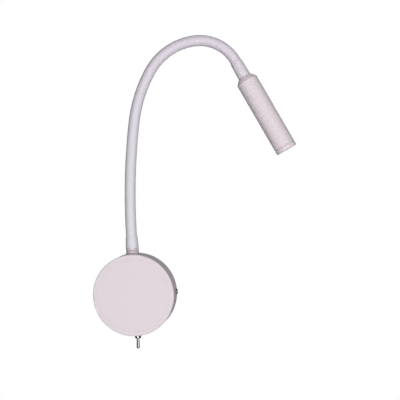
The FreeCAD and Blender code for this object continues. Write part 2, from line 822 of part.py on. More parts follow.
def driver_box():
    centre = (ZERO, d.driver_rise)
    pad = block(
        "driver_pad",
        d.driver_width - 2 * d.pad_margin,
        d.driver_length - 2 * d.pad_margin,
        d.pad_thickness,
        centre,
        d.plate_thickness,
    )
    keep("driver_pad", pad, BASE)
    outside = block("case_outside", d.driver_width, d.driver_length, d.driver_height, centre, driver_floor)
    inside = block(
        "case_inside",
        d.driver_width - 2 * d.driver_wall,
        d.driver_length - 2 * d.driver_wall,
        d.driver_height,
        centre,
        driver_floor + d.driver_wall,
    )
    wire_holes = [
        cylinder(
            "case_wire_hole",
            d.wire_diameter / 2 + d.wire_hole_gap,
            2 * d.driver_wall,
            (across, driver_bottom_edge - d.driver_wall / 2, height),
            "y",
        )
        for across, height in (NEUTRAL_ENTRY, SWITCHED_ENTRY)
    ]
    lead_hole = cylinder(
        "case_lead_hole",
        d.lead_diameter / 2 + d.wire_hole_gap,
        2 * d.driver_wall,
        (0, driver_top_edge - 3 * d.driver_wall / 2, d.base_depth / 2),
        "y",
    )
    keep("driver_case", cut("driver_case", outside, inside, *wire_holes, lead_hole), BASE)
    lid = block(
        "driver_lid", d.driver_width, d.driver_length, d.driver_wall, centre, driver_floor + d.driver_height
    )
    keep("driver_lid", lid, BASE)


def driver_inside():
    inset = 2 * (d.driver_wall + d.board_gap)
    board_floor = driver_floor + d.driver_wall
    board = block(
        "driver_board",
        d.driver_width - inset,
        d.driver_length - inset,
        d.board_thickness,
        (ZERO, d.driver_rise),
        board_floor,
    )
    keep("driver_board", board, BASE)
    board_top = board_floor + d.board_thickness
    transformer = block(
        "driver_transformer",
        d.transformer_width,
        d.transformer_length,
        d.transformer_height,
        (ZERO, d.driver_rise - d.transformer_drop),
        board_top,
    )
    keep("driver_transformer", transformer, BASE)
    capacitor = cylinder(
        "driver_capacitor",
        d.capacitor_diameter / 2,
        d.capacitor_height,
        (d.capacitor_right, d.driver_rise, board_top),
    )
    keep("driver_capacitor", capacitor, BASE)


# ---------------------------------------------------------------------------------------------
# toggle switch: heights count down from the crown of the cover's inside

bushing_end = d.cover_wall + d.bushing_show
bushing_start = bushing_end - d.bushing_length
cap_start = bushing_start - d.cap_plate_thickness
body_end = cap_start - d.switch_height
pivot_height = bushing_end - d.pivot_depth


def switch_bushing():
    radius = d.switch_thread / 2
    barrel = turned(
        "bushing_barrel",
        [
            (ZERO, bushing_start),
            (radius, bushing_start),
            (radius, bushing_end - d.bushing_chamfer),
            (radius - d.bushing_chamfer, bushing_end),
            (ZERO, bushing_end),
        ],
    )
    cap = block("bushing_cap", d.switch_width, d.switch_length, d.cap_plate_thickness, base=cap_start)
    bore = cylinder("bushing_bore", d.bushing_bore / 2, THICK_CUT, (0, 0, cap_start - d.cap_plate_thickness))
    mouth = cone(
        "bushing_mouth",
        d.bushing_bore / 2,
        d.bushing_mouth / 2,
        d.bushing_mouth_depth,
        (0, 0, bushing_end - d.bushing_mouth_depth),
    )
    keep("switch_bushing", cut("switch_bushing", join("bushing_blank", barrel, cap), bore, mouth), SWITCH)


def switch_body():
    body = block("switch_body", d.switch_width, d.switch_length, d.switch_height, base=body_end)
    keep("switch_body", body, SWITCH)
    tip = body_end - d.lug_length
    lugs = [
        block("switch_lug", d.lug_width, d.lug_thickness, d.lug_length, (ZERO, place), tip)
        for place in (ZERO, d.lug_pitch)
    ]
    keep("switch_lugs", group("switch_lugs", *lugs), SWITCH)


def switch_fixings():
    washer_top = -drop_inside_cover(d.switch_washer_diameter / 2) - d.switch_washer_thickness - d.slip_gap
    washer(
        "switch_washer",
        d.switch_washer_diameter,
        d.switch_thread + 2 * d.hole_gap,
        d.switch_washer_thickness,
        (0, 0, washer_top),
        SWITCH,
    )
    nut(
        "switch_nut",
        d.switch_nut_flats,
        d.switch_thread,
        d.switch_nut_height,
        (0, 0, washer_top - d.switch_nut_height),
        SWITCH,
    )


def switch_lever():
    """A bat lever about its pivot: a ball in the bushing, a tail inside and a swelling handle."""
    tip_radius = d.lever_tip / 2
    tip_centre = d.lever_reach - tip_radius
    pivot = ball("lever_ball", d.bushing_bore / 2 - d.pivot_ball_gap)
    tail = cylinder("lever_tail", d.lever_tail_diameter / 2, d.lever_tail, (0, 0, -d.lever_tail))
    bat = cone("lever_bat", d.lever_neck / 2, tip_radius, tip_centre)
    tip = ball("lever_tip", tip_radius, (0, 0, tip_centre))
    lever = put(join("switch_lever", pivot, tail, bat, tip), (0, 0, pivot_height))
    lever.Placement.Rotation = FreeCAD.Rotation(FreeCAD.Vector(1, 0, 0), -float(d.lever_swing_angle) / 2)
    keep("switch_lever", lever, SWITCH)


# ---------------------------------------------------------------------------------------------
# gooseneck

def sleeve_inside(outside):
    return outside / 2 - d.sleeve_wall


def neck_collar():
    line = d.collar_line_height
    half = d.collar_line_width / 2
    outside = d.collar_diameter / 2
    inside = d.hose_thread / 2 + d.slip_gap
    blank = turned(
        "collar_blank",
        [
            (inside, -d.collar_skirt),
            (outside, -d.collar_skirt),
            (outside, line - half),
            (outside - d.collar_line_sink, line),
            (outside, line + half),
            (outside, d.collar_height),
            (inside, d.collar_height),
        ],
    )
    saddle_radius = base_radius + d.slip_gap
    saddle = cylinder("collar_saddle", saddle_radius, 2 * d.base_depth, (0, -d.base_depth, -base_radius), "y")
    keep("neck_collar", cut("neck_collar", blank, saddle), ROOT)


def hose_root_ferrule():
    """Threaded nipple, barrel under the sleeve and the first socket, in one turned piece."""
    joint = d.root_straight
    barrel_start = sleeve_inside(d.root_flare) - d.ferrule_gap
    barrel_end = sleeve_inside(d.root_flare_end) - d.ferrule_gap
    blank = turned(
        "root_ferrule_blank",
        [
            (ZERO, -d.root_thread_reach),
            (d.hose_thread / 2, -d.root_thread_reach),
            (d.hose_thread / 2, d.collar_height),
            (barrel_start, d.collar_height),
            (barrel_end, d.root_barrel_end),
            (d.hose_diameter / 2, joint + d.socket_lip - d.lip_taper),
            (d.lip_diameter / 2, joint + d.socket_lip),
            (ZERO, joint + d.socket_lip),
        ],
    )
    socket = ball("root_socket", d.ball_diameter / 2 + d.ball_gap, (0, 0, joint))
    bore = cylinder("root_bore", d.hose_bore / 2, 2 * joint, (0, 0, -d.root_thread_reach))
    keep("hose_root_ferrule", cut("hose_root_ferrule", blank, socket, bore), ROOT)


def hose_root_fixings():
    top = -d.cover_wall - drop_inside_cover(d.hose_washer_diameter / 2) - d.slip_gap
    washer(
        "hose_root_washer",
        d.hose_washer_diameter,
        d.hose_thread + 2 * d.hole_gap,
        d.hose_washer_thickness,
        (0, 0, top - d.hose_washer_thickness),
        ROOT,
    )
    nut(
        "hose_root_nut",
        d.hose_nut_flats,
        d.hose_thread,
        d.hose_nut_height,
        (0, 0, top - d.hose_washer_thickness - d.hose_nut_height),
        ROOT,
    )


def hose_link(label, reach, frame):
    """One rigid length of the hose: a ball at its start and a socket for the next at its end."""
    shoulder = d.ball_setback
    taper_start = reach + d.socket_lip - d.lip_taper
    solid = join(
        label + "_blank",
        ball(label + "_ball", d.ball_diameter / 2),
        cylinder(label + "_neck", d.ball_neck / 2, shoulder + d.slip_gap),
        cylinder(label + "_wall", d.hose_diameter / 2, taper_start - shoulder, (0, 0, shoulder)),
        cone(label + "_lip", d.hose_diameter / 2, d.lip_diameter / 2, d.lip_taper, (0, 0, taper_start)),
    )
    socket = ball(label + "_socket", d.ball_diameter / 2 + d.ball_gap, (0, 0, reach))
    bore = cylinder(label + "_bore", d.hose_bore / 2, 2 * reach, (0, 0, -d.ball_diameter))
    keep(label, cut(label, solid, socket, bore), frame)


def hose_links():
    stations = hose_stations()
    number = 0
    for length, turn, links in HOSE_ARCS:
        reach = chord_length(length, turn, links)
        half_turn = turn.value / links.value / 2
        for _ in range(int(links.value)):
            start = hose_frame(stations[number])
            along_chord = start.multiply(FreeCAD.Placement(FreeCAD.Vector(), leaning(half_turn)))
            number += 1
            hose_link(f"hose_link_{number:02d}", reach, HoseFrame(along_chord))


def ring_face(frame, outside, inside):
    """A flat ring, or a disc where inside is nothing, across the hose at a frame."""
    normal = frame.Rotation.multVec(FreeCAD.Vector(0, 0, 1))
    disc = Part.Face(Part.Wire([Part.makeCircle(outside, frame.Base, normal)]))
    if not inside:
        return disc
    middle = Part.Face(Part.Wire([Part.makeCircle(inside, frame.Base, normal)]))
    return disc.cut(middle).Faces[0]


def bent_tube(outside, inside, start, end):
    """A tube along the hose's own line between two stations, one exact solid for each run."""
    solids = []
    run_start = 0.0
    runs = list(HOSE_RUNS)
    runs[-1] = (max(end - HOSE_LENGTH + runs[-1][0], runs[-1][0]), 0.0)
    for length, turn in runs:
        low = min(start, 0.0) if run_start == 0.0 else run_start
        low = max(low, start)
        high = min(run_start + length, end)
        if high > low:
            frame = hose_frame(low)
            face = ring_face(frame, outside, inside)
            if turn == 0:
                ahead = frame.Rotation.multVec(FreeCAD.Vector(0, 0, high - low))
                solids.append(face.extrude(ahead))
            else:
                radius = length / math.radians(turn)
                centre = frame.multVec(FreeCAD.Vector(radius, 0, 0))
                swept = turn * (high - low) / length
                solids.append(face.revolve(centre, FreeCAD.Vector(0, 1, 0), swept))
        run_start += length
    return solids


def spun_shape(corners, frame):
    """A turned shape from (radius, height) corners, in a frame on the hose."""
    points = [FreeCAD.Vector(float(radius), 0, float(height)) for radius, height in corners]
    face = Part.Face(Part.makePolygon(points + points[:1]))
    solid = face.revolve(FreeCAD.Vector(), FreeCAD.Vector(0, 0, 1), 360)
    solid.Placement = frame
    return solid


def one_solid(solids):
    whole = solids[0].multiFuse(solids[1:]).removeSplitter()
    return whole.Solids[0] if len(whole.Solids) == 1 else whole


def hose_sleeve():
    """The smooth sleeve: flared over the root ferrule, bent with the hose, flared at the head."""
    outside = d.sleeve_diameter / 2
    inside = sleeve_inside(d.sleeve_diameter)
    root_end = d.collar_height + d.sleeve_end_gap
    root = spun_shape(
        [
            (sleeve_inside(d.root_flare), root_end),
            (d.root_flare / 2, root_end),
            (d.root_flare_end / 2, d.root_barrel_end),
            (outside, d.root_straight),
            (inside, d.root_straight),
            (sleeve_inside(d.root_flare_end), d.root_barrel_end),
        ],
        ROOT.placement,
    )
    flare_start = -d.head_straight
    flare_full = flare_start + d.head_flare_ramp
    head = spun_shape(
        [
            (inside, flare_start),
            (outside, flare_start),
            (d.head_flare_start / 2, flare_full),
            (d.head_flare / 2, -d.sleeve_end_gap),
            (sleeve_inside(d.head_flare), -d.sleeve_end_gap),
            (sleeve_inside(d.head_flare_start), flare_full),
        ],
        HEAD.placement,
    )
    start = d.root_straight.value
    end = HOSE_LENGTH - d.head_straight.value
    bent = bent_tube(float(outside), float(inside), start, end)
    keep("hose_sleeve", shaped("hose_sleeve", one_solid([root, *bent, head])), LAMP)
    section = math.pi * (float(outside) ** 2 - float(inside) ** 2)
    report_volume("sleeve between its flares", sum(s.Volume for s in bent), section * (end - start))


def lamp_lead():
    """The lead, whole, from inside the driver, through the hose, to the back of the LED board."""
    radius = d.lead_diameter.value / 2
    start = float(driver_top_edge - d.driver_wall - d.wire_entry - base_radius)
    end = HOSE_LENGTH + float(led_board_back)
    solids = bent_tube(radius, 0.0, start, end)
    keep("lamp_lead", shaped("lamp_lead", one_solid(solids)), LAMP)
    report_volume("lamp lead", sum(s.Volume for s in solids), math.pi * radius**2 * (end - start))
    print(f"lamp lead length {end - start:.1f} mm")


def head_ferrule():
    """The last ball, barrel under the sleeve's end and threaded nipple into the head."""
    joint = -d.head_straight
    shoulder = joint + d.ball_setback
    full = joint + d.head_flare_ramp + d.ball_setback
    slope = (d.head_flare - d.head_flare_start) / 2 / (d.head_straight - d.head_flare_ramp)
    barrel_end = sleeve_inside(d.head_flare) - d.ferrule_gap
    barrel_start = barrel_end + slope * full
    blank = turned(
        "head_ferrule_blank",
        [
            (ZERO, joint),
            (d.ball_neck / 2, joint),
            (d.ball_neck / 2, shoulder),
            (d.hose_diameter / 2, shoulder),
            (barrel_start, full),
            (barrel_end, ZERO),
            (d.hose_thread / 2, ZERO),
            (d.hose_thread / 2, d.head_thread_reach),
            (ZERO, d.head_thread_reach),
        ],
    )
    last_ball = ball("head_ball", d.ball_diameter / 2, (0, 0, joint))
    bore = cylinder("head_bore", d.hose_bore / 2, 3 * d.head_straight, (0, 0, joint - d.ball_diameter))
    keep("head_ferrule", cut("head_ferrule", join("head_ferrule_solid", blank, last_ball), bore), HEAD)


def head_fixings():
    washer(
        "head_washer",
        d.hose_washer_diameter,
        d.hose_thread + 2 * d.hole_gap,
        d.hose_washer_thickness,
        (0, 0, d.head_back_wall),
        HEAD,
    )
    nut(
        "head_nut",
        d.hose_nut_flats,
        d.hose_thread,
        d.hose_nut_height,
        (0, 0, d.head_back_wall + d.hose_washer_thickness),
        HEAD,
    )


# ---------------------------------------------------------------------------------------------
# spot head: heights run forward from the housing's back

head_radius = d.head_diameter / 2
head_bore = head_radius - d.head_wall
bezel_back = d.head_length - d.bezel_length
skirt_back = bezel_back - d.bezel_skirt
lens_front = d.head_length - d.lens_recess
flange_back = skirt_back - d.lens_flange_thickness
lens_back = flange_back - d.lens_cone
led_board_front = lens_back - d.led_gap
led_board_back = led_board_front - d.led_board_thickness


def head_housing():
    hole = d.hose_thread / 2 + d.hole_gap
    housing = turned(
        "head_housing",
        [
            (hole, ZERO),
            (head_radius - d.head_chamfer_width, ZERO),
            (head_radius, d.head_chamfer_length),
            (head_radius, bezel_back - d.bezel_seam),
            (head_bore, bezel_back - d.bezel_seam),
            (head_bore, d.head_back_wall + d.head_chamfer_length / 2),
            (head_bore - d.head_chamfer_width / 2, d.head_back_wall),
            (hole, d.head_back_wall),
        ],
    )
    keep("head_housing", housing, HEAD)


def bezel_ring():
    opening = d.bezel_opening / 2
    bezel = turned(
        "bezel_ring",
        [
            (opening, skirt_back),
            (head_bore - d.slip_gap, skirt_back),
            (head_bore - d.slip_gap, bezel_back),
            (head_radius, bezel_back),
            (head_radius, d.head_length - d.bezel_chamfer),
            (head_radius - d.bezel_chamfer, d.head_length),
            (opening + d.bezel_chamfer, d.head_length),
            (opening, d.head_length - d.bezel_chamfer),
        ],
    )
    keep("bezel_ring", bezel, HEAD)


def lens():
    rim = d.bezel_opening / 2 - d.slip_gap
    flange = head_bore - d.slip_gap
    pocket_top = lens_back + d.lens_pocket_depth
    optic = turned(
        "lens",
        [
            (d.lens_pocket / 2, lens_back),
            (d.lens_waist / 2, lens_back),
            (rim, flange_back),
            (flange, flange_back),
            (flange, skirt_back - d.slip_gap),
            (rim, skirt_back - d.slip_gap),
            (rim, lens_front),
            (ZERO, lens_front),
            (ZERO, pocket_top),
            (d.lens_pocket / 2, pocket_top),
        ],
    )
    keep("lens", optic, HEAD)


def led():
    board = cylinder("led_board", d.led_board_diameter / 2, d.led_board_thickness, (0, 0, led_board_back))
    keep("led_board", board, HEAD)
    body_top = led_board_front + d.led_thickness
    chip = turned(
        "led_chip",
        [
            (ZERO, led_board_front),
            (d.led_diameter / 2, led_board_front),
            (d.led_diameter / 2, body_top),
            (d.led_dome / 2, body_top),
            (d.led_dome / 4, body_top + d.led_dome_height),
            (ZERO, body_top + d.led_dome_height),
        ],
    )
    keep("led_chip", chip, HEAD)


def heat_sink():
    back = led_board_back - d.heat_sink_length
    radius = head_bore - d.slip_gap
    plug = turned(
        "heat_sink",
        [
            (d.hose_bore / 2, back),
            (radius, back),
            (radius, led_board_back),
            (d.hose_bore / 2, led_board_back),
        ],
    )
    keep("heat_sink", plug, HEAD)


# ---------------------------------------------------------------------------------------------
# wiring inside the base

def rounded_route(points):
    """A wire's line: straight runs joined by tangent arcs, each as large as its two runs allow."""
    edges = []
    here = points[0]
    radii = []
    for i in range(1, len(points) - 1):
        before = (points[i - 1] - points[i]).normalize()
        after = (points[i + 1] - points[i]).normalize()
        shorter = min((points[i] - points[i - 1]).Length, (points[i + 1] - points[i]).Length)
        half_turn = (math.pi - before.getAngle(after)) / 2
        setback = 0.45 * shorter
        radius = setback / math.tan(half_turn)
        radii.append(radius)
        start = points[i] + before * setback
        end = points[i] + after * setback
        bisector = (before + after).normalize()
        middle = points[i] + bisector * (radius / math.cos(half_turn) - radius)
        edges.append(Part.LineSegment(here, start).toShape())
        edges.append(Part.Arc(start, middle, end).toShape())
        here = end
    edges.append(Part.LineSegment(here, points[-1]).toShape())
    return Part.Wire(edges), radii


def wire(label, points):
    """A length of hook-up wire through points given in the base's frame."""
    radius = d.wire_diameter.value / 2
    points = [FreeCAD.Vector(*map(float, point)) for point in points]
    route, radii = rounded_route(points)
    direction = (points[1] - points[0]).normalize()
    profile = Part.Wire([Part.makeCircle(radius, points[0], direction)])
    tube = route.makePipeShell([profile], True, False)
    keep(label, shaped(label, tube), BASE)
    report_volume(label, tube.Volume, math.pi * radius**2 * route.Length)
    print(f"{label} length {route.Length:.1f} mm, radii {', '.join(f'{r:.1f}' for r in radii)} mm")


def wiring():
    """Three wires: terminal to lower lug, terminal to driver and upper lug to driver."""
    pole_mouth = -d.block_drop + d.block_length / 2
    pole_start = pole_mouth - d.clamp_screw_pitch
    pole_level = d.plate_thickness + d.pole_height
    live_x = pole_places()["live"]
    neutral_x = pole_places()["neutral"]
    lug_tip = -inner_radius - body_end + d.lug_length + d.slip_gap
    lug_level = d.base_depth / 2
    upper_level = lug_level + d.lug_pitch
    inside_case = driver_bottom_edge + d.wire_entry
    wire(
        "live_wire",
        [
            (live_x, pole_start, pole_level),
            (live_x, pole_start + d.live_first_run, pole_level),
            (live_x + d.live_second_shift, pole_start + d.live_second_run, pole_level + d.live_second_lift),
            (-d.live_third_shift, lug_tip + d.live_third_run, lug_level - d.live_third_drop),
            (d.live_last_shift, lug_tip + d.live_last_run, lug_level),
            (ZERO, lug_tip, lug_level),
        ],
    )
    across, level = NEUTRAL_ENTRY
    wire(
        "neutral_wire",
        [
            (neutral_x, pole_start, pole_level),
            (neutral_x, pole_start + d.neutral_first_run, pole_level),
            (across, inside_case - d.neutral_last_run, level),
            (across, inside_case, level),
        ],
    )
    across, level = SWITCHED_ENTRY
    wire(
        "switched_wire",
        [
            (ZERO, lug_tip, upper_level),
            (ZERO, lug_tip + d.switched_first_run, upper_level),
            (across, inside_case - d.switched_last_run, level),
            (across, inside_case, level),
        ],
    )


# ---------------------------------------------------------------------------------------------
# checks, joints and export

def report_volume(what, volume, expected):
    error = abs(volume - expected) / expected
    if error > MOST_VOLUME_ERROR:
        raise ValueError(f"{what}: volume {volume:.2f} mm3, but section times length is {expected:.2f}")


def print_joints():
    """The hose's joint centres and headings, and the switch pivot, for the joint table."""
    for number, station in enumerate(hose_stations()):
        frame = hose_frame(station)
        ahead = frame.Rotation.multVec(FreeCAD.Vector(0, 0, 1))
        heading = math.degrees(math.atan2(ahead.x, ahead.z))
        place = frame.Base
        print(f"joint {number} at {place.x:.6f} {place.y:.6f} {place.z:.6f} heading {heading:.6f}")
    pivot = SWITCH.placement.multVec(FreeCAD.Vector(0, 0, float(pivot_height)))
    print(f"switch pivot at {pivot.x:.6f} {pivot.y:.6f} {pivot.z:.6f}")
    head = HEAD.placement.Base
    print(f"head back at {head.x:.6f} {head.y:.6f} {head.z:.6f}")


def check_document():
    """Every object recomputed without fault, and every piece is a valid solid."""
    doc.recompute()
    for thing in doc.Objects:
        faults = [state for state in thing.State if state in ("Invalid", "Error")]
        if faults:
            raise RuntimeError(f"{thing.Name} is {faults}")
    for label, thing in sub_parts.items():
        shape = thing.Shape
        if shape.isNull() or not shape.isValid() or not shape.Solids:
            raise RuntimeError(f"{label} has no valid solid")
        if shape.Volume <= 0:
            raise RuntimeError(f"{label} has no volume")


def export():
    os.makedirs(STEP_FOLDER, exist_ok=True)
    for label, thing in sub_parts.items():
        thing.Shape.exportStep(os.path.join(STEP_FOLDER, label + ".step"))
    print(f"{len(sub_parts)} pieces written")


base_cover()
wall_plate()
side_screws()
cable_grommet()
earth_terminal()
supply_terminal()
driver_box()
driver_inside()
switch_bushing()
switch_body()
switch_fixings()
switch_lever()
neck_collar()
hose_root_ferrule()
hose_root_fixings()
hose_links()
hose_sleeve()
head_ferrule()
head_fixings()
head_housing()
bezel_ring()
lens()
led()
heat_sink()
lamp_lead()
wiring()
check_document()
print_joints()
export()
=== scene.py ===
import json
import math

import bmesh
import bpy
from mathutils import Matrix, Vector

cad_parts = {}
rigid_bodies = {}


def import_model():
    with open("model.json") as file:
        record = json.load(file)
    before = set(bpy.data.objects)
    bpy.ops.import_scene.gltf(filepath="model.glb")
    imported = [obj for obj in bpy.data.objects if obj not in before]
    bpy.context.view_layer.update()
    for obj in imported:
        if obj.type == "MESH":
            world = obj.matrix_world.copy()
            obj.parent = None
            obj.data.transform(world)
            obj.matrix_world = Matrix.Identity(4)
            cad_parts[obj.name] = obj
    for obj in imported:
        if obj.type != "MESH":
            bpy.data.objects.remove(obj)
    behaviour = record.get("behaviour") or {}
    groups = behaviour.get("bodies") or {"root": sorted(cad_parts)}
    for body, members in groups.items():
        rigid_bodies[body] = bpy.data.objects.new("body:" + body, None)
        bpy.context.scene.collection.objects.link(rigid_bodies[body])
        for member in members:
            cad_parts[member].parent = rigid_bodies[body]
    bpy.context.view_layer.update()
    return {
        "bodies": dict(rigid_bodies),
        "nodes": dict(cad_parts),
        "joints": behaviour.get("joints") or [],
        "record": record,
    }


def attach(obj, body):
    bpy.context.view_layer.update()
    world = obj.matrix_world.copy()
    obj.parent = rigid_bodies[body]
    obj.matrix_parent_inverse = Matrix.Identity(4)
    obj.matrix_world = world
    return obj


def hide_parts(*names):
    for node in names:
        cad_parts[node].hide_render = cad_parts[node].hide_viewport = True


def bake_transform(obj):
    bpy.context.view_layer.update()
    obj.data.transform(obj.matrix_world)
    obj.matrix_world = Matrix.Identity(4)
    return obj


# Looks of the wall reading lamp: a satin white lamp on a bent hose, seen against plain white.
#
# The imported model gives every rigid piece. This script gives them their finishes, replaces the
# hose's sleeve and lead with pieces cut at each joint, and sets floor, light and camera.

# ---------------------------------------------------------------------------------------------
# the photograph's view, fitted to the base's two circles and the hose's ends

IMAGE_WIDTH_PX = 400
VIEW_AZIMUTH = 6.03
VIEW_ELEVATION = 1.37
VIEW_ROLL = 3.6
VIEW_DISTANCE = 1.050
VIEW_TARGET = Vector((0.06858, 0.0, 0.08845))
FOCAL_LENGTH_PX = 1061.5
SENSOR_WIDTH_MM = 36.0

# ---------------------------------------------------------------------------------------------
# the hose's line, in metres and degrees: straight start, four even bends, straight end

HOSE_START = Vector((0.0, -0.0125, 0.040))
ROOT_STRAIGHT = 0.018
HOSE_ARCS = (
    # length, turn, joints along it
    (0.1107, 10.0, 8),
    (0.053, 22.5, 4),
    (0.056, 56.0, 5),
    (0.046, 65.0, 4),
)
HEAD_STRAIGHT = 0.0185
HOSE_LENGTH = ROOT_STRAIGHT + sum(arc[0] for arc in HOSE_ARCS) + HEAD_STRAIGHT

SLEEVE_RADIUS = 0.00536
SLEEVE_WALL = 0.0008
SLEEVE_STEP = 0.0009
SLEEVE_SIDES = 64
ROOT_SLEEVE_START = 0.0055
ROOT_FLARE_RADIUS = 0.00635
ROOT_FLARE_END = 0.016
ROOT_FLARE_END_RADIUS = 0.0059
HEAD_FLARE_RADIUS = 0.0064
HEAD_FLARE_START_RADIUS = 0.005925
HEAD_FLARE_RAMP = 0.002
SLEEVE_END_GAP = 0.0003
LEAD_RADIUS = 0.0008
LEAD_SIDES = 16
LEAD_STEP = 2 * SLEEVE_STEP
LEAD_START = -0.01655
LEAD_IN_HEAD = 0.0652
LEAD_END = HOSE_LENGTH + LEAD_IN_HEAD
BLEND_MARGIN = 0.0002
# The bend and curl joints past the first sway joint, counted from the base. There sleeve and
# lead fold between two rigid halves, with a round band under the sleeve's fold, because a
# blend across them tears once a sway joint is turned as well.
FOLD_JOINTS = range(3, 22, 2)
FOLD_REACH = 0.0025
FOLD_SINK = 0.00002


def along_run(frame, length, turn):
    """The frame at the far end of a straight or evenly bent run that starts in a frame."""
    if turn == 0:
        return frame @ Matrix.Translation((0, 0, length))
    angle = math.radians(turn)
    radius = length / angle
    end = Vector((radius * (1 - math.cos(angle)), 0, radius * math.sin(angle)))
    return frame @ Matrix.Translation(end) @ Matrix.Rotation(angle, 4, "Y")


def hose_frame(station):
    """The frame on the hose's line at a distance from the top of the base: z runs along it."""
    frame = Matrix.Translation(HOSE_START)
    if station <= ROOT_STRAIGHT:
        return along_run(frame, station, 0)
    frame = along_run(frame, ROOT_STRAIGHT, 0)
    station -= ROOT_STRAIGHT
    for length, turn, _ in HOSE_ARCS:
        if station <= length:
            return along_run(frame, station, turn * station / length)
        frame = along_run(frame, length, turn)
        station -= length
    return along_run(frame, station, 0)


def joint_stations():
    """How far along the hose's line each joint is, from the base to the head."""
    stations = [ROOT_STRAIGHT]
    for length, _, joints in HOSE_ARCS:
        stations += [stations[-1] + length / joints * (i + 1) for i in range(joints)]
    return stations


def between(value, low, high):
    """How far a value has come from low to high, eased at both ends."""
    share = min(max((value - low) / (high - low), 0.0), 1.0)
    return share * share * (3 - 2 * share)


def sleeve_radius(station):
    """Outside radius of the sleeve: flared over both ferrules, even between them."""
    if station < ROOT_FLARE_END:
        share = (station - ROOT_SLEEVE_START) / (ROOT_FLARE_END - ROOT_SLEEVE_START)
        return ROOT_FLARE_RADIUS + (ROOT_FLARE_END_RADIUS - ROOT_FLARE_RADIUS) * share
    if station < ROOT_STRAIGHT:
        ramp = between(station, ROOT_FLARE_END, ROOT_STRAIGHT)
        return ROOT_FLARE_END_RADIUS + (SLEEVE_RADIUS - ROOT_FLARE_END_RADIUS) * ramp
    from_joint = station - (HOSE_LENGTH - HEAD_STRAIGHT)
    if from_joint <= 0:
        return SLEEVE_RADIUS
    if from_joint < HEAD_FLARE_RAMP:
        ramp = between(from_joint, 0, HEAD_FLARE_RAMP)
        return SLEEVE_RADIUS + (HEAD_FLARE_START_RADIUS - SLEEVE_RADIUS) * ramp
    share = (from_joint - HEAD_FLARE_RAMP) / (HEAD_STRAIGHT - HEAD_FLARE_RAMP)
    return HEAD_FLARE_START_RADIUS + (HEAD_FLARE_RADIUS - HEAD_FLARE_START_RADIUS) * share


# ---------------------------------------------------------------------------------------------
# mesh pieces


def ring(mesh, frame, radius, sides):
    """Points round a frame's z axis."""
    angles = [i * (2 * math.pi / sides) for i in range(sides)]
    return [
        mesh.verts.new(frame @ Vector((radius * math.cos(a), radius * math.sin(a), 0)))
        for a in angles
    ]


def bridge(mesh, ring_a, ring_b, smooth=True):
    """Joins two rings of the same count with faces."""
    count = len(ring_a)
    for i in range(count):
        j = (i + 1) % count
        face = mesh.faces.new((ring_a[i], ring_a[j], ring_b[j], ring_b[i]))
        face.smooth = smooth


def finished_object(name, mesh, material):
    data = bpy.data.meshes.new(name)
    mesh.to_mesh(data)
    mesh.free()
    data.materials.append(material)
    piece = bpy.data.objects.new(name, data)
    bpy.context.scene.collection.objects.link(piece)
    return piece


def stations_between(start, end, step):
    count = max(2, math.ceil((end - start) / step))
    return [start + (end - start) * i / count for i in range(count + 1)]


def sharpen_rims(mesh, loops):
    """Marks the edges of the end rings as sharp."""
    rims = {vertex for loop in loops for vertex in loop}
    for edge in mesh.edges:
        if edge.verts[0] in rims and edge.verts[1] in rims:
            edge.smooth = False


def tube(name, start, end, outside, inside, material):
    """A closed tube along the hose's line; outside and inside are functions of the station."""
    mesh = bmesh.new()
    stations = stations_between(start, end, SLEEVE_STEP)
    outer, inner = (
        [ring(mesh, hose_frame(s), radius(s), SLEEVE_SIDES) for s in stations]
        for radius in (outside, inside)
    )
    for a, b in zip(outer, outer[1:]):
        bridge(mesh, a, b)
    for a, b in zip(inner, inner[1:]):
        bridge(mesh, b, a)
    bridge(mesh, inner[0], outer[0], smooth=False)
    bridge(mesh, outer[-1], inner[-1], smooth=False)
    sharpen_rims(mesh, (outer[0], outer[-1], inner[0], inner[-1]))
    return finished_object(name, mesh, material)


def rod(name, start, end, material):
    """A closed round lead along the hose's line."""
    mesh = bmesh.new()
    stations = stations_between(start, end, LEAD_STEP)
    rings = [ring(mesh, hose_frame(s), LEAD_RADIUS, LEAD_SIDES) for s in stations]
    for a, b in zip(rings, rings[1:]):
        bridge(mesh, a, b)
    mesh.faces.new(list(reversed(rings[0])))
    mesh.faces.new(rings[-1])
    sharpen_rims(mesh, (rings[0], rings[-1]))
    return finished_object(name, mesh, material)


# ---------------------------------------------------------------------------------------------
# finishes


# colours, linear
WHITE_PAINT = (0.803, 0.719, 0.770)
WARM_PAINT = (0.80, 0.70, 0.735)
PAINT_PORES = (0.60, 0.55, 0.575)
# painted shade for corners and for surfaces next to nearby parts
CORNER_SHADE = (0.40, 0.36, 0.385)
WHITE_SLEEVE = (0.748, 0.735, 0.79)
PINK_SLEEVE = (0.777, 0.714, 0.797)
COOL_SLEEVE = (0.72, 0.70, 0.775)
PLATING = (0.32, 0.32, 0.325)
PLATING_SHADE = (0.22, 0.22, 0.225)
ZINC = (0.62, 0.63, 0.65)
ZINC_BLOOM = (0.74, 0.75, 0.77)
ZINC_STAIN = (0.47, 0.46, 0.44)
NICKEL_BRASS = (0.70, 0.66, 0.56)
NICKEL_STAIN = (0.50, 0.46, 0.38)
BRASS = (0.75, 0.56, 0.24)
BRASS_STAIN = (0.50, 0.34, 0.14)
ALUMINIUM = (0.80, 0.80, 0.82)
ALUMINIUM_STAIN = (0.60, 0.60, 0.62)
STEEL = (0.46, 0.46, 0.47)
STEEL_DARK = (0.26, 0.26, 0.27)
RUBBER = (0.018, 0.018, 0.020)
RUBBER_DUST = (0.07, 0.068, 0.065)
NYLON = (0.72, 0.70, 0.64)
NYLON_SHADE = (0.62, 0.60, 0.53)
DRIVER = (0.68, 0.68, 0.66)
DRIVER_SHADE = (0.58, 0.58, 0.55)
FOAM = (0.07, 0.07, 0.075)
FOAM_CELL = (0.02, 0.02, 0.022)
BOARD_GREEN = (0.012, 0.11, 0.035)
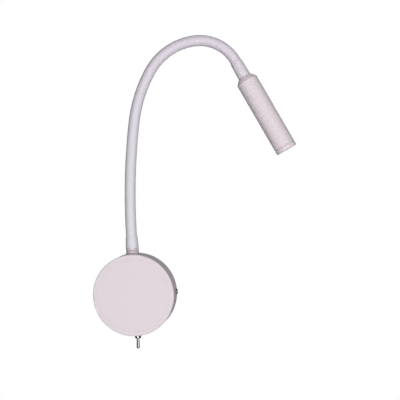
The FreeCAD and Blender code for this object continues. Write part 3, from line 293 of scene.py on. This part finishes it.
BOARD_TRACK = (0.05, 0.24, 0.09)
BOARD_WHITE = (0.82, 0.82, 0.80)
BOARD_WHITE_TRACK = (0.72, 0.72, 0.70)
TAPE = (0.62, 0.42, 0.03)
TAPE_EDGE = (0.42, 0.26, 0.02)
CAPACITOR = (0.012, 0.016, 0.030)
CAPACITOR_SHADE = (0.03, 0.035, 0.05)
SWITCH_RED = (0.20, 0.025, 0.018)
SWITCH_SHADE = (0.12, 0.014, 0.010)
BROWN = (0.085, 0.030, 0.012)
BROWN_SHADE = (0.13, 0.055, 0.028)
BLUE = (0.012, 0.050, 0.22)
BLUE_SHADE = (0.03, 0.085, 0.28)
GREY_LEAD = (0.42, 0.42, 0.43)
GREY_SHADE = (0.33, 0.33, 0.34)
LENS = (0.93, 0.95, 0.97)
PHOSPHOR = (0.80, 0.55, 0.08)
PHOSPHOR_DARK = (0.66, 0.40, 0.04)

# where the usual values of a noise lie, and those of open and sheltered corners
NOISE_RANGE = (0.3, 0.7)
FULL_RANGE = (0.0, 1.0)
CORNER_RANGE = (0.35, 0.95)
CORNER_SAMPLES = 16
# heights over which the sleeve turns pinker, in metres above the middle of the base
PINK_HEIGHTS = (0.10, 0.22)
# how the plating's scratches are drawn out, one way and across it
SCRATCH_STRETCHES = ((1.0, 1.0, 9.0), (9.0, 2.0, 1.0))
TURNED_STRETCH = (1.0, 1.0, 6.0)
CELL_RANGE = (0.0, 0.8)
FOAM_CELL_SIZE = 0.0006
FOAM_CELL_RANGE = (0.0, 0.7)
# sockets of the colour mix, whose names repeat
MIX_COLOR_A = 6
MIX_COLOR_B = 7
MIX_COLOR_RESULT = 2


class Finish:
    """A node material: one principled shader and helpers that feed it. Sizes are in metres."""

    def __init__(self, name, color, roughness, metallic=0.0, **sockets):
        self.material = bpy.data.materials.new(name)
        self.material.use_nodes = True
        self.tree = self.material.node_tree
        self.tree.nodes.clear()
        self.shader = self.node("ShaderNodeBsdfPrincipled")
        output = self.node("ShaderNodeOutputMaterial")
        self.tree.links.new(self.shader.outputs["BSDF"], output.inputs["Surface"])
        self.color = (*color, 1.0)
        self.roughness = roughness
        self.shader.inputs["Base Color"].default_value = self.color
        self.shader.inputs["Roughness"].default_value = roughness
        self.shader.inputs["Metallic"].default_value = metallic
        for socket, value in sockets.items():
            self.shader.inputs[socket.replace("_", " ")].default_value = value

    def node(self, kind, **settings):
        node = self.tree.nodes.new(kind)
        for name, value in settings.items():
            setattr(node, name, value)
        return node

    def feed(self, socket, output):
        self.tree.links.new(output, socket)

    def position(self, stretch=(1, 1, 1)):
        """Object coordinates, stretched along the axes."""
        coordinates = self.node("ShaderNodeTexCoord")
        mapping = self.node("ShaderNodeMapping")
        self.feed(mapping.inputs["Vector"], coordinates.outputs["Object"])
        mapping.inputs["Scale"].default_value = stretch
        return mapping.outputs["Vector"]

    def altitude(self):
        """The height above the middle of the base."""
        split = self.node("ShaderNodeSeparateXYZ")
        self.feed(split.inputs["Vector"], self.position())
        return split.outputs["Z"]

    def noise(self, size, detail, stretch=(1, 1, 1)):
        """Noise with features about this size."""
        noise = self.node("ShaderNodeTexNoise")
        self.feed(noise.inputs["Vector"], self.position(stretch))
        noise.inputs["Scale"].default_value = 1.0 / size
        noise.inputs["Detail"].default_value = detail
        return noise.outputs["Fac"]

    def cells(self, size):
        """The distance to the nearest of scattered points about this far apart."""
        cells = self.node("ShaderNodeTexVoronoi")
        self.feed(cells.inputs["Vector"], self.position())
        cells.inputs["Scale"].default_value = 1.0 / size
        return cells.outputs["Distance"]

    def scaled(self, value, factor):
        product = self.node("ShaderNodeMath", operation="MULTIPLY")
        self.feed(product.inputs[0], value)
        product.inputs[1].default_value = factor
        return product.outputs["Value"]

    def span(self, value, low, high, usual=NOISE_RANGE):
        """Maps a value's usual range to another range."""
        node = self.node("ShaderNodeMapRange")
        self.feed(node.inputs["Value"], value)
        node.inputs["From Min"].default_value = usual[0]
        node.inputs["From Max"].default_value = usual[1]
        node.inputs["To Min"].default_value = low
        node.inputs["To Max"].default_value = high
        return node.outputs["Result"]

    def vary_color(self, amount, other):
        """Mixes the colour so far with another by an amount between 0 and 1."""
        mix = self.node("ShaderNodeMix", data_type="RGBA")
        self.feed(mix.inputs["Factor"], amount)
        base = self.shader.inputs["Base Color"]
        if base.is_linked:
            self.feed(mix.inputs[MIX_COLOR_A], base.links[0].from_socket)
        else:
            mix.inputs[MIX_COLOR_A].default_value = self.color
        mix.inputs[MIX_COLOR_B].default_value = (*other, 1.0)
        self.feed(base, mix.outputs[MIX_COLOR_RESULT])

    def bump(self, value, depth, strength):
        """Raises the surface by a value times a depth."""
        bump = self.node("ShaderNodeBump")
        bump.inputs["Strength"].default_value = strength
        bump.inputs["Distance"].default_value = depth
        self.feed(bump.inputs["Height"], value)
        normal = self.shader.inputs["Normal"]
        if normal.is_linked:
            self.feed(bump.inputs["Normal"], normal.links[0].from_socket)
        self.feed(normal, bump.outputs["Normal"])

    def mottle(self, other, size, detail, most):
        """Soft patches of another colour."""
        self.vary_color(self.span(self.noise(size, detail), 0.0, most), other)

    def uneven_gloss(self, size, detail, spread):
        """Patches that are duller and glossier by a spread of roughness."""
        low, high = self.roughness - spread, self.roughness + spread
        value = self.noise(size, detail)
        self.feed(self.shader.inputs["Roughness"], self.span(value, low, high))

    def grain(self, size, detail, depth, strength, stretch=(1, 1, 1)):
        """Fine unevenness of the surface."""
        self.bump(self.noise(size, detail, stretch), depth, strength)

    def paint_corner_shade(self, other, reach, most):
        """Darkens the colour in corners and next to nearby parts, out to a reach: painted shade
        from ambient occlusion.
        """
        corner = self.node("ShaderNodeAmbientOcclusion", samples=CORNER_SAMPLES)
        corner.inputs["Distance"].default_value = reach
        self.vary_color(self.span(corner.outputs["AO"], most, 0.0, CORNER_RANGE), other)


def powder_white(name, shade_amount, shade_reach):
    """Satin white powder coat: fine orange peel, soft mottling, faintly dusty pores, and painted
    shade in its corners.
    """
    finish = Finish(name, WHITE_PAINT, roughness=0.6, Specular_IOR_Level=0.2)
    finish.mottle(WARM_PAINT, size=0.016, detail=4.0, most=0.14)
    finish.mottle(PAINT_PORES, size=0.0007, detail=2.0, most=0.03)
    # painted shade in corners and next to nearby parts
    finish.paint_corner_shade(CORNER_SHADE, shade_reach, shade_amount)
    finish.uneven_gloss(size=0.004, detail=4.0, spread=0.04)
    finish.grain(size=0.0011, detail=2.0, depth=0.00002, strength=0.25)
    finish.grain(size=0.00022, detail=2.0, depth=0.000005, strength=0.2)
    return finish.material


def sleeve_white():
    """Soft white sleeve: dull and smooth, pinker towards the top of the arm, with light scuffs and
    painted shade near the parts it meets.
    """
    finish = Finish("sleeve_white", WHITE_SLEEVE, roughness=0.52, Specular_IOR_Level=0.4)
    finish.vary_color(finish.span(finish.altitude(), 0.0, 1.0, PINK_HEIGHTS), PINK_SLEEVE)
    finish.mottle(COOL_SLEEVE, size=0.012, detail=4.0, most=0.12)
    finish.mottle(PAINT_PORES, size=0.0016, detail=3.0, most=0.03)
    # painted shade where the sleeve comes near the base and the head, out to 12 mm
    finish.paint_corner_shade(CORNER_SHADE, reach=0.012, most=0.8)
    finish.uneven_gloss(size=0.003, detail=4.0, spread=0.05)
    finish.grain(size=0.0035, detail=2.0, depth=0.00002, strength=0.3)
    finish.grain(size=0.0004, detail=3.0, depth=0.000005, strength=0.25)
    return finish.material


def polished_chrome():
    """Bright plating: fine crossed scratches and a breath of smudge."""
    finish = Finish("polished_chrome", PLATING, roughness=0.06, metallic=1.0)
    finish.mottle(PLATING_SHADE, size=0.003, detail=4.0, most=0.25)
    finish.uneven_gloss(size=0.0018, detail=5.0, spread=0.036)
    for stretch in SCRATCH_STRETCHES:
        finish.grain(size=0.0011, detail=5.0, depth=0.0000012, strength=0.5, stretch=stretch)
    return finish.material


def zinc_steel():
    """Zinc plate: a faint crystal bloom, uneven gloss and light handling marks."""
    finish = Finish("zinc_steel", ZINC, roughness=0.34, metallic=1.0)
    finish.vary_color(finish.span(finish.cells(0.0016), 0.0, 0.55, CELL_RANGE), ZINC_BLOOM)
    finish.mottle(ZINC_STAIN, size=0.008, detail=5.0, most=0.35)
    finish.uneven_gloss(size=0.0025, detail=5.0, spread=0.12)
    finish.grain(size=0.0006, detail=4.0, depth=0.00002, strength=0.5)
    return finish.material


def turned_metal(name, color, stain, roughness=0.28):
    """Turned metal: tool lines round the piece, stained in patches."""
    finish = Finish(name, color, roughness, metallic=1.0)
    finish.mottle(stain, size=0.004, detail=4.0, most=0.4)
    finish.uneven_gloss(size=0.0015, detail=4.0, spread=0.1)
    finish.grain(size=0.0005, detail=3.0, depth=0.000015, strength=0.6, stretch=TURNED_STRETCH)
    return finish.material


def moulded(name, color, shade, roughness):
    """Moulded plastic: spark-eroded grain, faint flow shading."""
    finish = Finish(name, color, roughness)
    finish.mottle(shade, size=0.009, detail=3.0, most=0.3)
    finish.uneven_gloss(size=0.002, detail=4.0, spread=0.07)
    finish.grain(size=0.0005, detail=3.0, depth=0.00003, strength=0.6)
    return finish.material


def rubber(name, color, shade):
    """Rubber: matte, dusty in its pores."""
    finish = Finish(name, color, roughness=0.78, Sheen_Weight=0.15, Sheen_Roughness=0.5)
    finish.mottle(shade, size=0.0022, detail=5.0, most=0.5)
    finish.uneven_gloss(size=0.001, detail=3.0, spread=0.08)
    finish.grain(size=0.0004, detail=3.0, depth=0.00003, strength=0.6)
    return finish.material


def foam():
    """Open-cell foam: its cells show on every face."""
    finish = Finish("grey_foam", FOAM, roughness=0.95)
    amount = finish.span(finish.cells(FOAM_CELL_SIZE), 0.0, 0.7, FOAM_CELL_RANGE)
    finish.vary_color(amount, FOAM_CELL)
    finish.bump(finish.cells(FOAM_CELL_SIZE), depth=0.0002, strength=0.9)
    return finish.material


def board(name, color, track):
    """Lacquered circuit board: tracks show through as a paler maze."""
    finish = Finish(name, color, roughness=0.3, Coat_Weight=0.4, Coat_Roughness=0.15)
    bricks = finish.node("ShaderNodeTexBrick")
    finish.feed(bricks.inputs["Vector"], finish.position())
    bricks.inputs["Scale"].default_value = 260.0
    bricks.inputs["Mortar Size"].default_value = 0.045
    bricks.inputs["Mortar Smooth"].default_value = 0.2
    finish.vary_color(finish.scaled(bricks.outputs["Fac"], factor=0.6), track)
    finish.uneven_gloss(size=0.001, detail=3.0, spread=0.08)
    finish.bump(bricks.outputs["Fac"], depth=0.00003, strength=0.5)
    return finish.material


def winding():
    """Taped transformer: overlapping turns of glossy yellow tape."""
    finish = Finish("winding_yellow", TAPE, roughness=0.3, Coat_Weight=0.3, Coat_Roughness=0.1)
    turns = finish.node("ShaderNodeTexWave", wave_type="BANDS", bands_direction="Z")
    finish.feed(turns.inputs["Vector"], finish.position())
    turns.inputs["Scale"].default_value = 160.0
    turns.inputs["Distortion"].default_value = 1.5
    finish.vary_color(finish.span(turns.outputs["Fac"], 0.0, 0.4, FULL_RANGE), TAPE_EDGE)
    finish.bump(turns.outputs["Fac"], depth=0.00005, strength=0.6)
    return finish.material


def wound_steel():
    """The wound steel hose under its sleeve: uneven, darker in patches."""
    finish = Finish("hose_steel", STEEL, roughness=0.35, metallic=1.0)
    finish.mottle(STEEL_DARK, size=0.003, detail=4.0, most=0.45)
    finish.uneven_gloss(size=0.001, detail=4.0, spread=0.1)
    finish.grain(size=0.0007, detail=3.0, depth=0.00005, strength=0.6)
    return finish.material


def clear_lens():
    """Moulded clear lens with faint flow lines."""
    finish = Finish("clear_lens", LENS, roughness=0.04, Transmission_Weight=1.0, IOR=1.49)
    finish.uneven_gloss(size=0.003, detail=3.0, spread=0.02)
    finish.grain(size=0.0016, detail=2.0, depth=0.000008, strength=0.3)
    return finish.material


def phosphor():
    """Yellow phosphor under a silicone dome."""
    glow = {"Subsurface_Weight": 0.2, "Subsurface_Scale": 0.0004}
    finish = Finish("phosphor_yellow", PHOSPHOR, roughness=0.35, **glow)
    finish.mottle(PHOSPHOR_DARK, size=0.0004, detail=3.0, most=0.3)
    finish.grain(size=0.0002, detail=2.0, depth=0.00001, strength=0.4)
    return finish.material


def all_finishes():
    """One finish for each material slot of the record."""
    return {
        # the paint gets a little painted shade in its corners
        "satin_white": powder_white("satin_white", shade_amount=0.3, shade_reach=0.003),
        "sleeve_white": sleeve_white(),
        "polished_chrome": polished_chrome(),
        "zinc_steel": zinc_steel(),
        "hose_steel": wound_steel(),
        "nickelled_brass": turned_metal("nickelled_brass", NICKEL_BRASS, NICKEL_STAIN),
        "bright_brass": turned_metal("bright_brass", BRASS, BRASS_STAIN),
        "black_rubber": rubber("black_rubber", RUBBER, RUBBER_DUST),
        "white_nylon": moulded("white_nylon", NYLON, NYLON_SHADE, roughness=0.42),
        "driver_plastic": moulded("driver_plastic", DRIVER, DRIVER_SHADE, roughness=0.5),
        "grey_foam": foam(),
        "board_green": board("board_green", BOARD_GREEN, BOARD_TRACK),
        "winding_yellow": winding(),
        "capacitor_sleeve": moulded(
            "capacitor_sleeve", CAPACITOR, CAPACITOR_SHADE, roughness=0.28
        ),
        "switch_red": moulded("switch_red", SWITCH_RED, SWITCH_SHADE, roughness=0.45),
        "wire_brown": rubber("wire_brown", BROWN, BROWN_SHADE),
        "wire_blue": rubber("wire_blue", BLUE, BLUE_SHADE),
        "lead_grey": rubber("lead_grey", GREY_LEAD, GREY_SHADE),
        "bare_aluminium": turned_metal(
            "bare_aluminium", ALUMINIUM, ALUMINIUM_STAIN, roughness=0.32
        ),
        "board_white": board("board_white", BOARD_WHITE, BOARD_WHITE_TRACK),
        "phosphor_yellow": phosphor(),
        "clear_acrylic": clear_lens(),
    }


def dress_nodes(frame, finishes):
    """Gives every carried-over node the finish of its slot, and the collar one with heavier
    painted shade that reaches further.
    """
    for entry in frame["record"]["subparts"]:
        node = frame["nodes"][entry["node"]]
        for slot in node.material_slots:
            slot.material = finishes[entry["material_slot"]]
    # the collar's paint is darkened more, by painted shade from the base's shoulder beside it
    for slot in frame["nodes"]["neck_collar"].material_slots:
        slot.material = powder_white("neck_white_shaded", shade_amount=1.0, shade_reach=0.014)


# ---------------------------------------------------------------------------------------------
# hose: the sleeve and the lead in pieces, one or two for each joint; at a fold joint the two
# halves go with the bodies on either side


def hose_bodies(frame):
    """The bodies along the hose, from the base to the head."""
    links = sorted(name for name in frame["bodies"] if name.startswith("hose_link"))
    return ["base", *links, "head"]


def blend_span(start, end, radius):
    """Where a piece may bend: clear of its end rings, which keep to their bodies."""
    first = hose_frame(start)
    last = hose_frame(end)
    tangents = [f.to_quaternion() @ Vector((0, 0, 1)) for f in (first, last)]
    half_turn = tangents[0].angle(tangents[1]) / 2
    inset = radius * math.tan(half_turn) + BLEND_MARGIN
    return first.translation + tangents[0] * inset, last.translation - tangents[1] * inset


def sleeve_bore(station):
    """Inside radius of the sleeve, and of the bands under its folds."""
    return sleeve_radius(station) - SLEEVE_WALL


def fold_band(joint):
    """The outside of a round band whose middle is a fold's joint."""
    radius = SLEEVE_RADIUS - FOLD_SINK
    return lambda station: math.sqrt(radius**2 - (station - joint) ** 2)


def dress_hose(frame, finishes):
    """Builds sleeve and lead from the base to the head, cut midway between the joints."""
    bodies = hose_bodies(frame)
    joints = joint_stations()
    middles = [(a + b) / 2 for a, b in zip(joints, joints[1:])]
    sleeve_cuts = [ROOT_SLEEVE_START, *middles, HOSE_LENGTH - SLEEVE_END_GAP]
    lead_cuts = [LEAD_START, *middles, LEAD_END]

    def sleeve(name, start, end, outside=sleeve_radius):
        piece = tube(name, start, end, outside, sleeve_bore, finishes["sleeve_white"])
        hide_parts("hose_sleeve")
        return piece

    def lead(name, start, end):
        piece = rod(name, start, end, finishes["lead_grey"])
        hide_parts("lamp_lead")
        return piece

    for i, joint in enumerate(joints):
        number = i + 1
        for make, kind, cuts in ((sleeve, "sleeve", sleeve_cuts), (lead, "lead", lead_cuts)):
            name = f"{kind}_{number:02d}"
            if number in FOLD_JOINTS:
                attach(make(name, cuts[i], joint), bodies[i])
                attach(make(name + "_far", joint, cuts[i + 1]), bodies[i + 1])
                continue
            near = middles[i - 1] if i > 0 else 2 * joint - middles[i]
            far = middles[i] if i < len(middles) else 2 * joint - middles[i - 1]
            start, end = (tuple(point) for point in blend_span(near, far, SLEEVE_RADIUS))
            piece = make(name, cuts[i], cuts[i + 1])
            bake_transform(piece)
        if number in FOLD_JOINTS:
            ends = (joint - FOLD_REACH, joint + FOLD_REACH)
            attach(sleeve(f"sleeve_{number:02d}_band", *ends, fold_band(joint)), bodies[i])


# ---------------------------------------------------------------------------------------------
# stage


WHITE = (1.0, 1.0, 1.0, 1.0)
PAPER = (0.78, 0.78, 0.78)
FLOOR_SIZE = 2.4
FLOOR_CELLS = 8
FLOOR_PLACE = (0.07, -0.75, -0.30)
# how much whiter the camera sees the floor than it is lit
FLOOR_LIFT = 0.5
SOFT_LIGHTS = (
    # name, place, width and height, power
    ("key_softbox", (1.05, -2.7, 0.97), (1.8, 1.8), 53.5),
    ("low_softbox", (0.05, -0.95, -0.2), (0.5, 0.5), 4.1),
)
# how bright the room is round the lamp: before it, beside it and in the white behind it
ROOM_FRONT = 0.04
ROOM_SIDE = 0.02
BACKDROP_LIT = 0.6
BACKDROP_WHITE = 1.0
# where the backdrop and the room before the lamp begin and are full, as the share of a
# direction that points to the wall
BACKDROP_EDGES = (0.70, 0.86)
FRONT_EDGES = (0.0, -0.9)


def floor_and_light():
    """A pale floor below the lamp, a large soft light before it and a small one low down."""
    bpy.ops.mesh.primitive_grid_add(
        x_subdivisions=FLOOR_CELLS,
        y_subdivisions=FLOOR_CELLS,
        size=FLOOR_SIZE,
        location=FLOOR_PLACE,
    )
    floor = bpy.context.object
    floor.name = "studio_floor"
    paper = Finish("studio_paper", PAPER, roughness=0.85)
    paper.grain(size=0.002, detail=3.0, depth=0.0001, strength=0.3)
    seen = paper.node("ShaderNodeLightPath").outputs["Is Camera Ray"]
    paper.shader.inputs["Emission Color"].default_value = WHITE
    paper.feed(paper.shader.inputs["Emission Strength"], paper.scaled(seen, FLOOR_LIFT))
    floor.data.materials.append(paper.material)
    for name, place, size, power in SOFT_LIGHTS:
        data = bpy.data.lights.new(name, "AREA")
        data.shape = "RECTANGLE"
        data.size, data.size_y = size
        data.energy = power
        light = bpy.data.objects.new(name, data)
        light.location = place
        aim = VIEW_TARGET - Vector(place)
        light.rotation_euler = aim.to_track_quat("-Z", "Y").to_euler()
        bpy.context.scene.collection.objects.link(light)


def room():
    """A lit white backdrop behind the lamp and a dim room beside and before it.

    The camera sees white in every direction. Light, metal and glass get the room itself.
    """
    world = bpy.data.worlds.new("studio_room")
    bpy.context.scene.world = world
    world.use_nodes = True
    nodes = world.node_tree.nodes
    links = world.node_tree.links
    nodes.clear()
    coordinates = nodes.new("ShaderNodeTexCoord")
    split = nodes.new("ShaderNodeSeparateXYZ")
    links.new(coordinates.outputs["Generated"], split.inputs["Vector"])

    def graded(edges, low, high):
        grade = nodes.new("ShaderNodeMapRange")
        grade.interpolation_type = "SMOOTHSTEP"
        grade.inputs["From Min"].default_value = edges[0]
        grade.inputs["From Max"].default_value = edges[1]
        grade.inputs["To Min"].default_value = low
        grade.inputs["To Max"].default_value = high
        links.new(split.outputs["Y"], grade.inputs["Value"])
        return grade.outputs["Result"]

    level = nodes.new("ShaderNodeMath")
    level.operation = "ADD"
    links.new(graded(FRONT_EDGES, ROOM_SIDE, ROOM_FRONT), level.inputs[0])
    links.new(graded(BACKDROP_EDGES, 0.0, BACKDROP_LIT), level.inputs[1])
    surroundings = nodes.new("ShaderNodeBackground")
    surroundings.inputs["Color"].default_value = WHITE
    links.new(level.outputs["Value"], surroundings.inputs["Strength"])
    white = nodes.new("ShaderNodeBackground")
    white.inputs["Color"].default_value = WHITE
    white.inputs["Strength"].default_value = BACKDROP_WHITE
    path = nodes.new("ShaderNodeLightPath")
    choose = nodes.new("ShaderNodeMixShader")
    links.new(path.outputs["Is Camera Ray"], choose.inputs["Fac"])
    links.new(surroundings.outputs["Background"], choose.inputs[1])
    links.new(white.outputs["Background"], choose.inputs[2])
    output = nodes.new("ShaderNodeOutputWorld")
    links.new(choose.outputs["Shader"], output.inputs["Surface"])


def photo_camera():
    """The photograph's camera, with its small roll."""
    azimuth = math.radians(VIEW_AZIMUTH)
    elevation = math.radians(VIEW_ELEVATION)
    roll = math.radians(VIEW_ROLL)
    back = Vector((
        math.sin(azimuth) * math.cos(elevation),
        -math.cos(azimuth) * math.cos(elevation),
        math.sin(elevation),
    ))
    level_right = Vector((0, 0, 1)).cross(back).normalized()
    level_up = back.cross(level_right)
    right = math.cos(roll) * level_right - math.sin(roll) * level_up
    up = math.sin(roll) * level_right + math.cos(roll) * level_up
    data = bpy.data.cameras.new("photo_camera")
    data.sensor_width = SENSOR_WIDTH_MM
    data.lens = FOCAL_LENGTH_PX / IMAGE_WIDTH_PX * SENSOR_WIDTH_MM
    camera = bpy.data.objects.new("photo_camera", data)
    turn = Matrix((right, up, back)).transposed().to_4x4()
    camera.matrix_world = Matrix.Translation(VIEW_TARGET + back * VIEW_DISTANCE) @ turn
    bpy.context.scene.collection.objects.link(camera)
    bpy.context.scene.camera = camera


def main():
    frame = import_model()
    finishes = all_finishes()
    dress_nodes(frame, finishes)
    dress_hose(frame, finishes)
    room()
    floor_and_light()
    photo_camera()
    bpy.context.scene.view_settings.view_transform = "Standard"


main()
